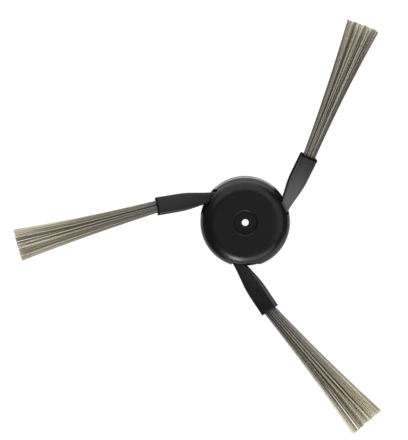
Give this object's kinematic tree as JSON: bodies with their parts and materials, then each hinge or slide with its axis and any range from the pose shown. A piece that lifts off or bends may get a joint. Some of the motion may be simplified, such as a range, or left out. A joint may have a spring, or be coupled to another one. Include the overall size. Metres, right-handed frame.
{
  "type": "robot vacuum side brush",
  "caption": "Side brush of a robot vacuum: a domed black hub with soft flared arms, each ending in a fanned tuft of bristles, held by a screw through the hub's recess",
  "frame": {"origin": "on the hub's axis, in the end face of the collar that the brush stands on, which is the mouth of the drive socket", "axes": "+Z along the hub's axis towards the domed face, +X along the radius through the post of the first arm"},
  "size_m": [0.1465, 0.1651, 0.0233],
  "materials": {
    "cap_plastic": "smooth moulded, satin",
    "base_plastic": "fine moulded grain",
    "boot_rubber": "matte",
    "bristle_nylon": "translucent filament"
  },
  "bodies": {
    "root": {"hub_cap": "cap_plastic", "hub_base": "base_plastic", "arm_boot_1": "boot_rubber", "arm_boot_2": "boot_rubber", "arm_boot_3": "boot_rubber", "bristle_tuft_1": "bristle_nylon", "bristle_tuft_2": "bristle_nylon", "bristle_tuft_3": "bristle_nylon"}
  },
  "joints": []
}
